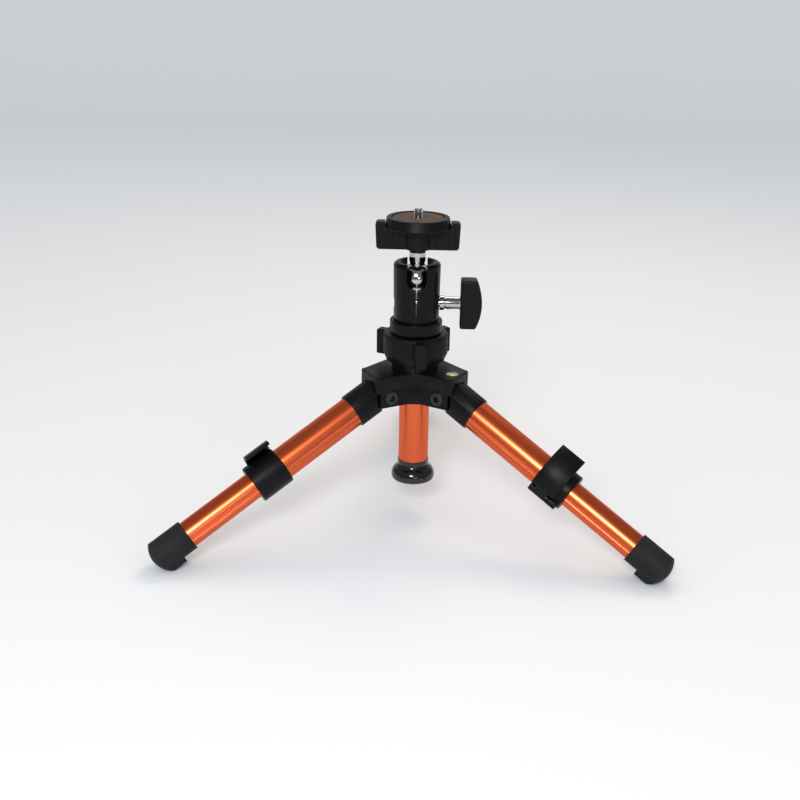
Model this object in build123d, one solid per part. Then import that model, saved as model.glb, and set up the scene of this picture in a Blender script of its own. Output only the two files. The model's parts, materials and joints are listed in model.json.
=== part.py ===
from build123d import *
import math
import os

# Tabletop tripod with a ball head. Millimetres and degrees, +Z up.
# The feet stand on z = 0, and the origin is the centre of the object's footprint.

# --- Clearances -------------------------------------------------------------
running_fit = 0.08      # radial play of a shaft, slide or pin in its hole
seat_fit = 0.04         # radial play of a piece pushed in or on for good
face_gap = 0.3          # play between faces that move past each other

# --- Making -------------------------------------------------------------------
root = 1.0              # how deep one shape runs into the next that it is joined to
cut_past = 1.0          # how far a cut runs past the face that it opens
cut_through = 60.0      # a cut right through any piece
open_room = 50.0        # a block of free space
floor_side = 600.0      # of the ground that trims the feet

# --- Legs: stance -----------------------------------------------------------
leg_names = ["right", "rear", "left"]
first_leg_azimuth = -30
leg_slope = 28.8        # below the horizontal, legs spread on their stops
pivot_radius = 24.2     # from the column's axis to a leg's pivot
pivot_drop = 3.5        # from a leg's axis down to its pivot
ground_flat = 0.4       # worn flat on each rubber foot

# --- Legs: stations along the leg's axis, from the pivot ----------------------
socket_floor = 12.0
knuckle_start = 4.0
knuckle_end = 26.0
collar_start = 85.5
collar_end = 108.8
upper_tube_end = 91.5
lower_tube_start = 76.5
foot_start = 162.0
foot_length = 27.8
foot_cover = 18.5       # how far the foot covers the tube
foot_dome_radius = 16.0

# --- Legs: sections -----------------------------------------------------------
upper_tube_radius = 10.8
tube_wall = 1.2
tube_play = 0.45        # between the two tubes of a leg, taken up by the guide and the collar
lower_tube_radius = upper_tube_radius - tube_wall - tube_play
groove_rise = 14        # of the side grooves above the leg's level midline
groove_width = 1.4
groove_depth = 0.8
lower_groove_extra = 0.5  # how much wider the lower tube's grooves are
key_width = 1.1
key_height = 0.6
knuckle_wall = 1.2
knuckle_edge = 0.6
knuckle_radius = upper_tube_radius + knuckle_wall
band_groove_offset = 2.3
band_groove_width = 0.8
band_groove_depth = 0.5
tongue_width = 10.0
tongue_radius = 5.4
foot_wall = 1.45
foot_radius = lower_tube_radius + foot_wall
sole_thickness = 2.0    # more than the wall, on the ground side
sole_depth = foot_radius + sole_thickness
sole_width = 14.0
sole_round = 2.0
sole_start = 10.5       # from the foot's open end
guide_head = 5.0
guide_spigot = 8.0
guide_wall = 2.0

# --- Leg lock -----------------------------------------------------------------
collar_wall = 2.4
collar_radius = upper_tube_radius + collar_wall
collar_edge = 0.8
lever_pin_inset = 0.7   # pin, inside the collar's side
lever_pin_out = collar_radius - lever_pin_inset
lever_pin_down = 6.8    # pin, below the leg's axis
lever_pin_radius = 1.25
pin_end_inset = 0.5
lever_boss_radius = 2.9
boss_web = 5.0          # from a boss's centre into the collar
inner_boss_length = 3.6
outer_boss_length = 8.0
boss_end_offset = 1.5   # outer boss, back from the collar's end
lever_length = 18.5
lever_thickness = 2.4
lever_gap = 0.5
lever_curve_radius = 25.5
lever_touch_angle = 15
lever_low_angle = 2.6
lever_tip_angle = 77
lever_overhang = 0.2     # of the lever past the collar's upper end
lever_web_share = 0.06  # of the lever's curve, where its web joins it
shoe_lead = 0.5         # from the upper tube's end to the shoe
shoe_length = 5.0
shoe_width = 6.0
shoe_gap = 0.35
shoe_play = 0.1         # round the shoe in its window

# --- Leg pivot bolts -----------------------------------------------------------
bolt_radius = 3.0
bolt_head_radius = 5.0
bolt_head_height = 4.0
bolt_head_round = 0.5
hex_socket_across = 4.0
hex_socket_depth = 2.4
recess_radius = 5.4
recess_reach = 20.0     # outward from the head's seat
nut_grip = 2.2

# --- Hub -------------------------------------------------------------------------
hub_top_above_pivot = 16.2
hub_block_height = 11.3
hub_skirt_height = 10.9
hub_reach = 36.0
hub_half_width = 12.6
hub_corner_round = 2.5
hub_waist_round = 15.0
hub_edge = 0.9
# The block's web, between the rear lobe and the two others.
hub_web_front = -5.8
hub_web_front_half = 34.9
hub_web_back = 24.3
hub_web_back_half = 12.0
skirt_reach = 33.0
skirt_half_width = 12.2
skirt_strip_radius = 16.7
ear_web = 3.0           # between a leg's tongue and the bolt's recess
slot_inner_radius = 18.4
swing_gap = 0.4
hub_neck_radius = 16.0
hub_neck_height = 18.0

# --- Bubble level -------------------------------------------------------------------
level_radius_from_axis = 29.6
level_pocket_radius = 4.9
level_pocket_depth = 4.6
level_cup_wall = 0.6
level_window_height = 0.9
level_bubble_radius = 1.7

# --- Column -----------------------------------------------------------------------
column_radius = 10.55
column_wall = 1.4
column_below_hub = 46.9
collet_radius = 13.2
collet_head_radius = 15.4
collet_slit = 1.2
collet_slits = 3        # across the collet, so twice as many fingers
collet_inset = 1.5      # of its foot above the hub's underside
ring_above_hub = 6.0
ring_height = 18.9
ring_radius = 22.2
ring_edge_radius = 20.2
ring_edge_height = 5.0
ring_edge = 0.8
ring_web = 3.3
ring_lugs = 3
lug_radius = 28.0
lug_width = 7.5
lug_start = 0.3         # above the ring's lower face
lug_height = 17.6
lug_azimuth = -81.6
lug_round = 1.2
lug_root = 3.0          # into the ring
head_plate_gap = 0.6
head_plate_radius = 17.9
head_plate_height = 8.5
head_plate_edge = 0.8
spigot_depth = 14.0
stud_radius = 4.0
stud_length = 16.0
cap_band_radius = 10.95
cap_band_height = 3.1
cap_neck_radius = 10.2
cap_rim_radius = 15.4
cap_height = 14.2
cap_rim_height = 2.2
cap_neck_height = 1.2
cap_bulge = 1.1         # of the bell, outward from a straight cone
cap_rim_edge = 1.2
cap_plug_length = 12.0
cap_plug_wall = 2.0

# --- Ball head ------------------------------------------------------------------------
housing_above_ball = 11.0   # its top, above the ball's centre
housing_radius_low = 15.4
housing_radius_top = 15.9
housing_shoulder = 2.7
ball_radius = 10.3
mouth_radius = 9.8
mouth_flare = 11.8
mouth_flare_height = 3.0
notch_width = 13.5
notch_drop = 6.2        # from the ball's centre to the notch's floor
slit_width = 1.0
slit_foot = 3.0         # uncut foot of the housing
seat_radius = 9.3
seat_taper = 1.4        # how much narrower the seat's foot is
seat_below_ball = 3.0
seat_rim_depth = 5.6    # of its rim below the ball's centre
seat_above_clamp = 1.0  # between the clamp screw and the seat's foot
clamp_height = 11.7     # clamp screw above the housing's foot
clamp_radius = 4.3
clamp_thread_radius = 3.0
clamp_collar_radius = 5.0
clamp_collar_length = 3.2
clamp_groove_radius = 3.6
clamp_groove_length = 0.7
clamp_nut_radius = 4.5
clamp_nut_length = 5.0
clamp_nut_inset = 0.4   # below the housing's side
clamp_tip_inset = 1.0
knob_inner_x = 29.6
knob_height = 33.8
knob_depth = 12.0
knob_middle = 14.6
knob_end = 10.6
knob_round = 1.4
knob_grip = 8.0         # of the clamp screw inside the knob
stem_radius = 5.5
spindle_radius = 4.0

# --- Camera platform ---------------------------------------------------------------------
stem_above_ball = 17.8
knob_hub_radius = 5.8
knob_hub_drop = 1.5
knob_boss_radius = 9.0
wing_half_length_top = 28.3
wing_half_length_low = 27.5
wing_thickness = 9.0
wing_height = 18.4
wing_corner = 2.2
wing_edge = 0.9
plate_height = 7.6
plate_top_radius = 20.6
plate_low_radius = 22.0
plate_under_radius = 19.0
plate_under_height = 1.6
plate_rim_edge = 0.5
plate_above_wings = 3.0
pad_radius = 17.2
pad_groove = 0.5
pad_thickness = 1.6
pad_below_rim = 0.3
screw_radius = 3.175    # 1/4 inch camera thread, major radius
screw_above_rim = 5.4
screw_flange_radius = 5.4
screw_flange_height = 1.2
screw_shank_radius = 2.6
screw_shank_length = 9.0
pad_hole_gap = 1.0

parts = {}


def at_x(x):
    return Plane.YZ.offset(x)


def tube_x(outer, inner, start, end):
    ring = Circle(outer) - Circle(inner) if inner else Circle(outer)
    return extrude(at_x(start) * ring, end - start)


def cylinder_z(radius, low, high):
    return Pos(0, 0, low) * extrude(Circle(radius), high - low)


def cone_z(low_radius, top_radius, low, high):
    height = high - low
    return Pos(0, 0, low + height / 2) * Cone(low_radius, top_radius, height)


def turned(points, axis=Axis.Z, plane=Plane.XZ):
    """A solid of revolution from (radius, height) points."""
    return revolve(plane * make_face(Polyline(*points, close=True)), axis)


def outward_box(inner, outer, width, low, high):
    """A box from one radius to another along +X, centred on the leg's plane."""
    middle = (inner + outer) / 2
    return Pos(middle, 0, (low + high) / 2) * Box(outer - inner, width, high - low)


# --- Leg pieces, in the leg's own frame -----------------------------------------------------
# +X runs outward along the leg's axis from the pivot, +Z is the leg's upper side, and the
# lever is on the -Y side. The pivot itself is at (0, 0, -pivot_drop).

slope = math.radians(leg_slope)
lower_bore = lower_tube_radius + running_fit
side_groove_angles = [groove_rise, 180 - groove_rise]


def side_bars(width, inner, outer):
    """Two radial bars in the tube's section, at the side grooves."""
    bars = Sketch()
    for angle in side_groove_angles:
        bar = Pos((inner + outer) / 2, 0) * Rectangle(outer - inner, width)
        bars += Rot(0, 0, angle) * bar
    return bars


def tube_section(radius, groove_extra):
    """A round tube with a groove outside and a key inside on each flank."""
    bore = radius - tube_wall
    groove = side_bars(groove_width + groove_extra, radius - groove_depth, radius + cut_past)
    key = side_bars(key_width, bore - key_height, bore + tube_wall / 3)
    return Circle(radius) - Circle(bore) + key - groove


upper_bore = upper_tube_radius - tube_wall
pivot_axis = Location((0, 0, -pivot_drop), (90, 0, 0))
swing_radius = math.hypot(skirt_reach - pivot_radius, hub_block_height + hub_skirt_height
                          - hub_top_above_pivot) + swing_gap


def pivot_cylinder(radius, width):
    return pivot_axis * extrude(Circle(radius), width / 2, both=True)


# Where the hub's block stands in the leg's frame: everything above its underside and
# inside its reach is left free.
block_under = hub_top_above_pivot - hub_block_height
block_room = Pos(hub_reach + face_gap - pivot_radius - open_room / 2, 0,
                 block_under - face_gap + open_room / 2)
block_room = Pos(0, 0, -pivot_drop) * Rot(0, -leg_slope, 0) * block_room
block_room *= Box(open_room, open_room, open_room)

sleeve = tube_x(knuckle_radius, 0, knuckle_start, knuckle_end)
sleeve = fillet(sleeve.edges().sort_by(Axis.X)[-1], knuckle_edge)
sleeve -= pivot_cylinder(swing_radius, cut_through)
sleeve -= block_room
tongue = pivot_cylinder(tongue_radius, tongue_width)
tongue += outward_box(0, socket_floor, tongue_width, -pivot_drop - tongue_radius,
                      -pivot_drop + tongue_radius)
knuckle = sleeve + tongue
knuckle -= tube_x(upper_tube_radius + seat_fit, 0, socket_floor, knuckle_end + cut_past)
knuckle -= pivot_cylinder(bolt_radius + running_fit, cut_through)
band_floor = math.sqrt(knuckle_radius ** 2 - band_groove_offset ** 2) - band_groove_depth
for side in (-1, 1):
    groove = outward_box(0, knuckle_end + cut_past, band_groove_width, band_floor,
                         knuckle_radius + cut_past)
    knuckle -= Pos(0, side * band_groove_offset, 0) * groove

upper_tube = extrude(at_x(socket_floor + seat_fit) * tube_section(upper_tube_radius, 0),
                     upper_tube_end - socket_floor - seat_fit)

lower_tube_end = foot_start + foot_cover
lower_tube = extrude(at_x(lower_tube_start) * tube_section(lower_tube_radius, lower_groove_extra),
                     lower_tube_end - lower_tube_start)

guide_section = Circle(upper_bore - running_fit)
guide_section -= side_bars(key_width + 2 * face_gap, upper_bore - key_height - face_gap,
                           upper_bore + cut_past)
guide = extrude(at_x(lower_tube_start - guide_head) * guide_section, guide_head)
guide_spigot_radius = lower_tube_radius - tube_wall - key_height - seat_fit
guide_end = lower_tube_start + guide_spigot
guide += tube_x(guide_spigot_radius, 0, lower_tube_start - root, guide_end)
guide -= tube_x(guide_spigot_radius - guide_wall, 0, 0, guide_end + cut_past)

# Rubber foot: a cup with a domed end, and a sole under its outer part.
foot_tip = foot_start + foot_length
foot_dome_centre = foot_tip - foot_dome_radius
sole_middle = -(foot_radius / 2 + sole_depth) / 2
sole_section = Pos(0, sole_middle) * RectangleRounded(sole_width, sole_depth - foot_radius / 2,
                                                      sole_round)
foot = tube_x(foot_radius, 0, foot_start, foot_tip)
foot += extrude(at_x(foot_start + sole_start) * sole_section, foot_length - sole_start)
dome_room = tube_x(foot_dome_radius, 0, foot_start, foot_dome_centre)
dome_room += Pos(foot_dome_centre, 0, 0) * Sphere(foot_dome_radius)
foot = foot & dome_room
foot -= tube_x(lower_tube_radius + seat_fit, 0, foot_start - cut_past, lower_tube_end + seat_fit)

# The legs' slope and the foot's lowest point give the height of the pivots.
leg_tilt = Rot(0, leg_slope, 0) * Pos(0, 0, pivot_drop)
pivot_height = -(leg_tilt * foot).bounding_box().min.Z - ground_flat
ground = Pos(0, 0, -pivot_height - open_room / 2) * Box(floor_side, floor_side, open_room)
foot -= leg_tilt.inverse() * ground

# Lock collar, with a boss at each end of the lever's pin.
pin_y = -lever_pin_out
pin_z = -lever_pin_down
outer_boss_start = collar_end - boss_end_offset - outer_boss_length
inner_boss_end = collar_start + inner_boss_length


def at_pin(radius, start, end):
    return Pos(0, pin_y, pin_z) * tube_x(radius, 0, start, end)


def boss(start, end):
    """A round boss about the pin, filled in towards the leg's axis."""
    section = Circle(lever_boss_radius)
    turn = math.degrees(math.atan2(-pin_z, -pin_y))
    section += Rot(0, 0, turn) * Pos(boss_web / 2, 0) * Rectangle(boss_web, 2 * lever_boss_radius)
    return Pos(0, pin_y, pin_z) * extrude(at_x(start) * section, end - start)


collar = tube_x(collar_radius, 0, collar_start, collar_end)
collar_rims = collar.edges().filter_by(GeomType.CIRCLE)
collar = fillet(collar_rims, collar_edge)
collar += boss(collar_start, inner_boss_end)
collar += boss(outer_boss_start, collar_end - boss_end_offset)
collar -= at_pin(lever_boss_radius + face_gap, inner_boss_end, outer_boss_start)
collar -= tube_x(upper_tube_radius + seat_fit, 0, collar_start - cut_past,
                 upper_tube_end + seat_fit)
collar -= tube_x(lower_bore, 0, collar_start - cut_past, collar_end + cut_past)
collar -= at_pin(lever_pin_radius + seat_fit, collar_start - cut_past, collar_end + cut_past)

lever_pin = at_pin(lever_pin_radius, collar_start + pin_end_inset,
                   collar_end - boss_end_offset - pin_end_inset)

# Brake shoe: a plastic block in a window of the collar, between the lever's cam and the tube.
pin_direction = math.degrees(math.atan2(pin_z, pin_y))
shoe_start = upper_tube_end + shoe_lead
shoe_outer = math.hypot(pin_y, pin_z) - lever_boss_radius - shoe_gap
shoe_inner = lower_bore


def shoe_block(extra, outer):
    section = Pos((shoe_inner - root + outer) / 2, 0)
    section *= Rectangle(outer - shoe_inner + root, shoe_width + 2 * extra)
    block = extrude(at_x(shoe_start - extra) * Rot(0, 0, pin_direction) * section,
                    shoe_length + 2 * extra)
    return block - tube_x(shoe_inner, 0, 0, collar_end)


shoe = shoe_block(0, shoe_outer)
collar -= shoe_block(shoe_play, shoe_outer + 2 * cut_past)

# Lever: a curved plate that hugs the collar, with its own boss between the collar's two.
lever_start = collar_start - lever_overhang
curve_offset = lever_curve_radius - collar_radius - lever_gap - lever_thickness / 2
touch = math.radians(lever_touch_angle)
curve_centre = (curve_offset * math.cos(touch), -curve_offset * math.sin(touch))
lever_sweep = -(lever_tip_angle - lever_low_angle)
lever_outside = CenterArc(curve_centre, lever_curve_radius + lever_thickness / 2,
                          180 - lever_low_angle, lever_sweep)
lever_inside = CenterArc(curve_centre, lever_curve_radius - lever_thickness / 2,
                         180 - lever_low_angle, lever_sweep)
lever_section = make_face([lever_outside, lever_inside, Line(lever_outside @ 0, lever_inside @ 0),
                           Line(lever_outside @ 1, lever_inside @ 1)])
lever = extrude(at_x(lever_start) * lever_section, lever_length)
web_top = lever_outside @ lever_web_share
web_in = lever_inside @ lever_web_share
web_out_y = pin_y - lever_boss_radius
web_root_y = pin_y - lever_boss_radius * math.sin(math.radians(lever_touch_angle))
web_root_z = pin_z + lever_boss_radius * math.cos(math.radians(lever_touch_angle))
boss_section = Pos(pin_y, pin_z) * Circle(lever_boss_radius)
boss_section += make_face(Polyline((web_out_y, pin_z), (web_top.X, web_top.Y),
                                   (web_in.X, web_in.Y), (web_root_y, web_root_z),
                                   (pin_y, pin_z), close=True))
cam_start = inner_boss_end + face_gap
cam_end = outer_boss_start - face_gap
lever += extrude(at_x(cam_start) * boss_section, cam_end - cam_start)
lever -= at_pin(lever_pin_radius + running_fit, 0, collar_end + cut_past)

# Pivot bolt and its sleeve nut, one from each side, with hexagon sockets.
head_seat = tongue_width / 2 + face_gap + ear_web
hex_socket = RegularPolygon(hex_socket_across / 2, 6, major_radius=False)


def bolt_head():
    """A round head with a hexagon socket, seated on its ear, towards -Y."""
    head = Pos(0, -head_seat, 0) * Rot(90, 0, 0) * extrude(Circle(bolt_head_radius),
                                                         bolt_head_height)
    head = fillet(head.edges().sort_by(Axis.Y)[0], bolt_head_round)
    socket = extrude(hex_socket, hex_socket_depth + cut_past)
    return head - Pos(0, hex_socket_depth - head_seat - bolt_head_height, 0) * Rot(90, 0, 0) * socket


shank_end = head_seat + nut_grip
shank = Rot(90, 0, 0) * Pos(0, 0, -shank_end) * extrude(Circle(bolt_radius), shank_end + head_seat)
pivot_bolt = bolt_head() + shank
pivot_nut = Rot(0, 0, 180) * bolt_head()
nut_bore = Pos(0, 0, head_seat - cut_past) * extrude(Circle(bolt_radius + seat_fit),
                                                     cut_past + nut_grip + seat_fit)
pivot_nut -= Rot(-90, 0, 0) * nut_bore

leg_pieces = {
    "knuckle": knuckle,
    "upper_tube": upper_tube,
    "lock_collar": collar,
    "lever_pin": lever_pin,
    "brake_shoe": shoe,
    "lock_lever": lever,
    "lower_tube": lower_tube,
    "tube_guide": guide,
    "foot": foot,
}
hub_fasteners = {"pivot_bolt": pivot_bolt, "pivot_nut": pivot_nut}


def leg_azimuth(index):
    return first_leg_azimuth + index * 360 / len(leg_names)


for index, leg_name in enumerate(leg_names):
    turn = Rot(0, 0, leg_azimuth(index))
    pivot_place = turn * Pos(pivot_radius, 0, pivot_height)
    for piece_name, piece in leg_pieces.items():
        parts[f"{leg_name}_leg_{piece_name}"] = pivot_place * leg_tilt * piece
    for piece_name, piece in hub_fasteners.items():
        parts[f"{leg_name}_leg_{piece_name}"] = pivot_place * piece


# --- Hub --------------------------------------------------------------------------------------
hub_top = pivot_height + hub_top_above_pivot
block_low = hub_top - hub_block_height
skirt_low = block_low - hub_skirt_height


def lobes(reach, half_width):
    """Three bars from the axis outward, one along each leg."""
    outline = Sketch()
    for index in range(len(leg_names)):
        bar = Pos(reach / 2, 0) * Rectangle(reach, 2 * half_width)
        outline += Rot(0, 0, leg_azimuth(index)) * bar
    return outline


block_outline = lobes(hub_reach, hub_half_width)
block_outline += make_face(Polyline((-hub_web_front_half, hub_web_front),
                                    (-hub_web_back_half, hub_web_back),
                                    (hub_web_back_half, hub_web_back),
                                    (hub_web_front_half, hub_web_front), close=True))
waist = [v for v in block_outline.vertices() if math.hypot(v.X, v.Y) < hub_reach / 2]
block_outline = fillet(waist, hub_waist_round)
corners = [v for v in block_outline.vertices() if math.hypot(v.X, v.Y) > hub_reach]
block_outline = fillet(corners, hub_corner_round)
block = Pos(0, 0, block_low) * extrude(block_outline, hub_block_height)
block = fillet(block.faces().sort_by(Axis.Z)[-1].edges(), hub_edge)

strip_triangle = Rot(0, 0, first_leg_azimuth) * RegularPolygon(skirt_strip_radius, 3,
                                                               major_radius=False)
skirt_outline = lobes(skirt_reach, skirt_half_width) + strip_triangle
skirt = Pos(0, 0, skirt_low) * extrude(skirt_outline, hub_skirt_height + hub_edge)

hub = block + skirt + cylinder_z(hub_neck_radius, block_low, hub_top + hub_neck_height)
hub -= cylinder_z(collet_radius + running_fit, skirt_low - cut_past,
                  hub_top + hub_neck_height + cut_past)
slot_width = tongue_width + 2 * face_gap
slot_top = pivot_height + tongue_radius + face_gap
for index in range(len(leg_names)):
    turn = Rot(0, 0, leg_azimuth(index))
    hub -= turn * outward_box(slot_inner_radius, hub_reach + cut_past, slot_width,
                              skirt_low - cut_past, slot_top)
    cross = turn * Pos(pivot_radius, 0, pivot_height) * Rot(90, 0, 0)
    hub -= cross * extrude(Circle(bolt_radius + seat_fit), cut_through / 2, both=True)
    for side in (-1, 1):
        recess = extrude(Circle(recess_radius), side * recess_reach)
        hub -= cross * Pos(0, 0, side * head_seat) * recess
level_place = Rot(0, 0, first_leg_azimuth) * Pos(level_radius_from_axis, 0, hub_top)
hub -= level_place * cylinder_z(level_pocket_radius, -level_pocket_depth, cut_past)
parts["hub"] = hub

cup_radius = level_pocket_radius - seat_fit
fluid_radius = cup_radius - level_cup_wall
fluid_top = -level_window_height
cup = cylinder_z(cup_radius, -level_pocket_depth, 0)
cup -= cylinder_z(fluid_radius, -level_pocket_depth + level_cup_wall, cut_past)
fluid = cylinder_z(fluid_radius - seat_fit, -level_pocket_depth + level_cup_wall, fluid_top)
fluid -= Pos(0, 0, fluid_top) * Sphere(level_bubble_radius)
window = cylinder_z(fluid_radius - seat_fit, fluid_top, 0)
parts["level_cup"] = level_place * cup
parts["level_fluid"] = level_place * fluid
parts["level_window"] = level_place * window


# --- Column -------------------------------------------------------------------------------------
ring_low = hub_top + ring_above_hub
ring_top = ring_low + ring_height
collet_top = ring_top - ring_web - face_gap
collet_shoulder = hub_top + hub_neck_height + face_gap
collet_bore = column_radius + running_fit
collet = cylinder_z(collet_radius, skirt_low + collet_inset, collet_shoulder)
collet += cone_z(collet_radius, collet_head_radius, collet_shoulder, collet_top)
collet -= cylinder_z(collet_bore, skirt_low, collet_top + cut_past)
for index in range(collet_slits):
    slit = Box(2 * collet_head_radius + cut_past, collet_slit, collet_top - hub_top)
    collet -= Rot(0, 0, index * 180 / collet_slits) * Pos(0, 0, (hub_top + collet_top) / 2) * slit
parts["column_collet"] = collet

ring = turned([(0, ring_low), (ring_edge_radius, ring_low),
               (ring_radius, ring_low + ring_edge_height), (ring_radius, ring_top - ring_edge),
               (ring_radius - ring_edge, ring_top), (0, ring_top)])
lug_low = ring_low + lug_start
for index in range(ring_lugs):
    lug = outward_box(ring_edge_radius - lug_root, lug_radius, lug_width, lug_low,
                      lug_low + lug_height)
    lug = fillet(lug.faces().sort_by(Axis.X)[-1].edges(), lug_round)
    ring += Rot(0, 0, lug_azimuth + index * 360 / ring_lugs) * lug
ring -= cylinder_z(hub_neck_radius + face_gap, ring_low - cut_past, ring_top - ring_web)
ring -= cylinder_z(column_radius + face_gap, ring_low, ring_top + cut_past)
parts["lock_ring"] = ring

column_low = skirt_low - column_below_hub
plate_low = ring_top + head_plate_gap
plate_top = plate_low + head_plate_height
column_bore = column_radius - column_wall
parts["column_tube"] = (cylinder_z(column_radius, column_low, plate_low)
                        - cylinder_z(column_bore, column_low - cut_past, plate_low + cut_past))

head_plate = cylinder_z(head_plate_radius, plate_low, plate_top)
head_plate = fillet(head_plate.edges().filter_by(GeomType.CIRCLE), head_plate_edge)
head_plate += cylinder_z(column_bore - seat_fit, plate_low - spigot_depth, plate_low + root)
stud_low = plate_top - stud_length / 2
stud_hole = cylinder_z(stud_radius + seat_fit, stud_low - seat_fit, plate_top + cut_past)
head_plate -= stud_hole
parts["column_head_plate"] = head_plate
parts["head_stud"] = cylinder_z(stud_radius, stud_low, stud_low + stud_length)

cap_low = column_low - cap_height
cap_neck_low = column_low - cap_band_height - cap_neck_height
cap_rim_top = cap_low + cap_rim_height
cap_plug_radius = column_bore - seat_fit
cap_slant = Vector(cap_rim_radius - cap_neck_radius, cap_rim_top - cap_neck_low)
cap_middle = Vector(cap_neck_radius, cap_neck_low) + cap_slant / 2
cap_middle += Vector(-cap_slant.Y, cap_slant.X).normalized() * cap_bulge
cap_bell = ThreePointArc((cap_rim_radius, cap_rim_top), cap_middle, (cap_neck_radius, cap_neck_low))
cap_top = Polyline((cap_neck_radius, cap_neck_low), (cap_neck_radius, column_low - cap_band_height),
                   (cap_band_radius, column_low - cap_band_height),
                   (cap_band_radius, column_low), (cap_plug_radius, column_low),
                   (cap_plug_radius, column_low + cap_plug_length),
                   (cap_plug_radius - cap_plug_wall, column_low + cap_plug_length),
                   (cap_plug_radius - cap_plug_wall, column_low), (0, column_low))
cap_foot = Polyline((0, column_low), (0, cap_low), (cap_rim_radius - cap_rim_edge, cap_low),
                    (cap_rim_radius, cap_low + cap_rim_edge), (cap_rim_radius, cap_rim_top))
cap = revolve(Plane.XZ * make_face([cap_bell, *cap_top.edges(), *cap_foot.edges()]), Axis.Z)
parts["column_end_cap"] = cap


# --- Ball head ------------------------------------------------------------------------------------
housing_low = plate_top
clamp_z = housing_low + clamp_height
seat_low = clamp_z + clamp_thread_radius + seat_above_clamp
ball_height = seat_low + seat_below_ball + ball_radius
housing_top = ball_height + housing_above_ball

housing = cone_z(housing_radius_low, housing_radius_top, housing_low, housing_top)
housing = fillet(housing.edges().sort_by(Axis.Z)[-1], housing_shoulder)
housing -= Pos(0, 0, ball_height) * Sphere(ball_radius + running_fit)
housing -= cylinder_z(mouth_radius, ball_height, housing_top + cut_past)
housing -= cone_z(mouth_radius, mouth_flare, housing_top - mouth_flare_height, housing_top)
notch_centre = ball_height - notch_drop + notch_width / 2
notch_top = housing_top + cut_past
notch = Pos(0, 0, (notch_centre + notch_top) / 2) * Box(notch_width, cut_through,
                                                        notch_top - notch_centre)
notch_end = extrude(Circle(notch_width / 2), cut_through / 2, both=True)
notch += Pos(0, 0, notch_centre) * Rot(90, 0, 0) * notch_end
housing -= notch
slit_low = housing_low + slit_foot
housing -= Pos(0, 0, (slit_low + notch_centre) / 2) * Box(slit_width, cut_through,
                                                           notch_centre - slit_low)
seat_top = ball_height - seat_rim_depth
housing -= cone_z(seat_radius - seat_taper + seat_fit, seat_radius + seat_fit, seat_low, seat_top)
clamp_cross = Pos(0, 0, clamp_z) * Rot(0, 90, 0)
housing -= clamp_cross * extrude(Circle(clamp_thread_radius + running_fit), cut_through / 2,
                                 both=True)
nut_place = housing_radius_low - clamp_nut_length
nut_pocket = extrude(Circle(clamp_nut_radius + seat_fit), cut_through)
housing -= clamp_cross * Pos(0, 0, -nut_place) * Rot(180, 0, 0) * nut_pocket
housing -= clamp_cross * Pos(0, 0, nut_place) * nut_pocket
housing -= cylinder_z(stud_radius + seat_fit, housing_low - cut_past,
                      stud_low + stud_length + seat_fit)
parts["head_housing"] = housing

seat = cone_z(seat_radius - seat_taper, seat_radius, seat_low, seat_top)
seat -= Pos(0, 0, ball_height) * Sphere(ball_radius + running_fit)
parts["ball_seat"] = seat

clamp_nut = extrude(Circle(clamp_nut_radius), clamp_nut_length - clamp_nut_inset)
clamp_nut -= extrude(Circle(clamp_thread_radius + running_fit), clamp_nut_length)
parts["clamp_nut"] = clamp_cross * Pos(0, 0, -nut_place) * Rot(180, 0, 0) * clamp_nut

collar_x = housing_radius_low + face_gap
groove_x = collar_x + clamp_collar_length
shaft_x = groove_x + clamp_groove_length
clamp_screw = tube_x(clamp_thread_radius, 0, clamp_tip_inset - housing_radius_low, collar_x + root)
clamp_screw += tube_x(clamp_collar_radius, 0, collar_x, groove_x)
clamp_screw += tube_x(clamp_groove_radius, 0, groove_x - root, shaft_x + root)
clamp_screw += tube_x(clamp_radius, 0, shaft_x, knob_inner_x + knob_grip)
parts["clamp_screw"] = Pos(0, 0, clamp_z) * clamp_screw

half_knob = knob_height / 2
knob_back = ThreePointArc((knob_inner_x + knob_end, -half_knob),
                          (knob_inner_x + knob_middle, 0), (knob_inner_x + knob_end, half_knob))
knob_front = Polyline((knob_inner_x + knob_end, half_knob), (knob_inner_x, half_knob),
                      (knob_inner_x, -half_knob), (knob_inner_x + knob_end, -half_knob))
knob = extrude(Plane.XZ * make_face([knob_back, *knob_front.edges()]), knob_depth / 2, both=True)
knob = fillet(knob.edges(), knob_round)
knob -= tube_x(clamp_radius + seat_fit, 0, 0, knob_inner_x + knob_grip + seat_fit)
parts["clamp_knob"] = Pos(0, 0, clamp_z) * knob

shoulder = ball_height + stem_above_ball
wing_low = shoulder + face_gap + knob_hub_drop
wing_top = wing_low + wing_height
rim_top = wing_top + plate_above_wings
camera_plate_low = rim_top - plate_height
pad_floor = rim_top - pad_below_rim - pad_thickness
spindle_top = pad_floor
stem = Pos(0, 0, ball_height) * Sphere(ball_radius)
stem += cylinder_z(stem_radius, ball_height, shoulder)
stem += cylinder_z(spindle_radius, shoulder - root, spindle_top)
shank_low = spindle_top - screw_shank_length
stem -= cylinder_z(screw_shank_radius + seat_fit, shank_low - seat_fit, spindle_top + cut_past)
parts["ball_stem"] = stem


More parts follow.
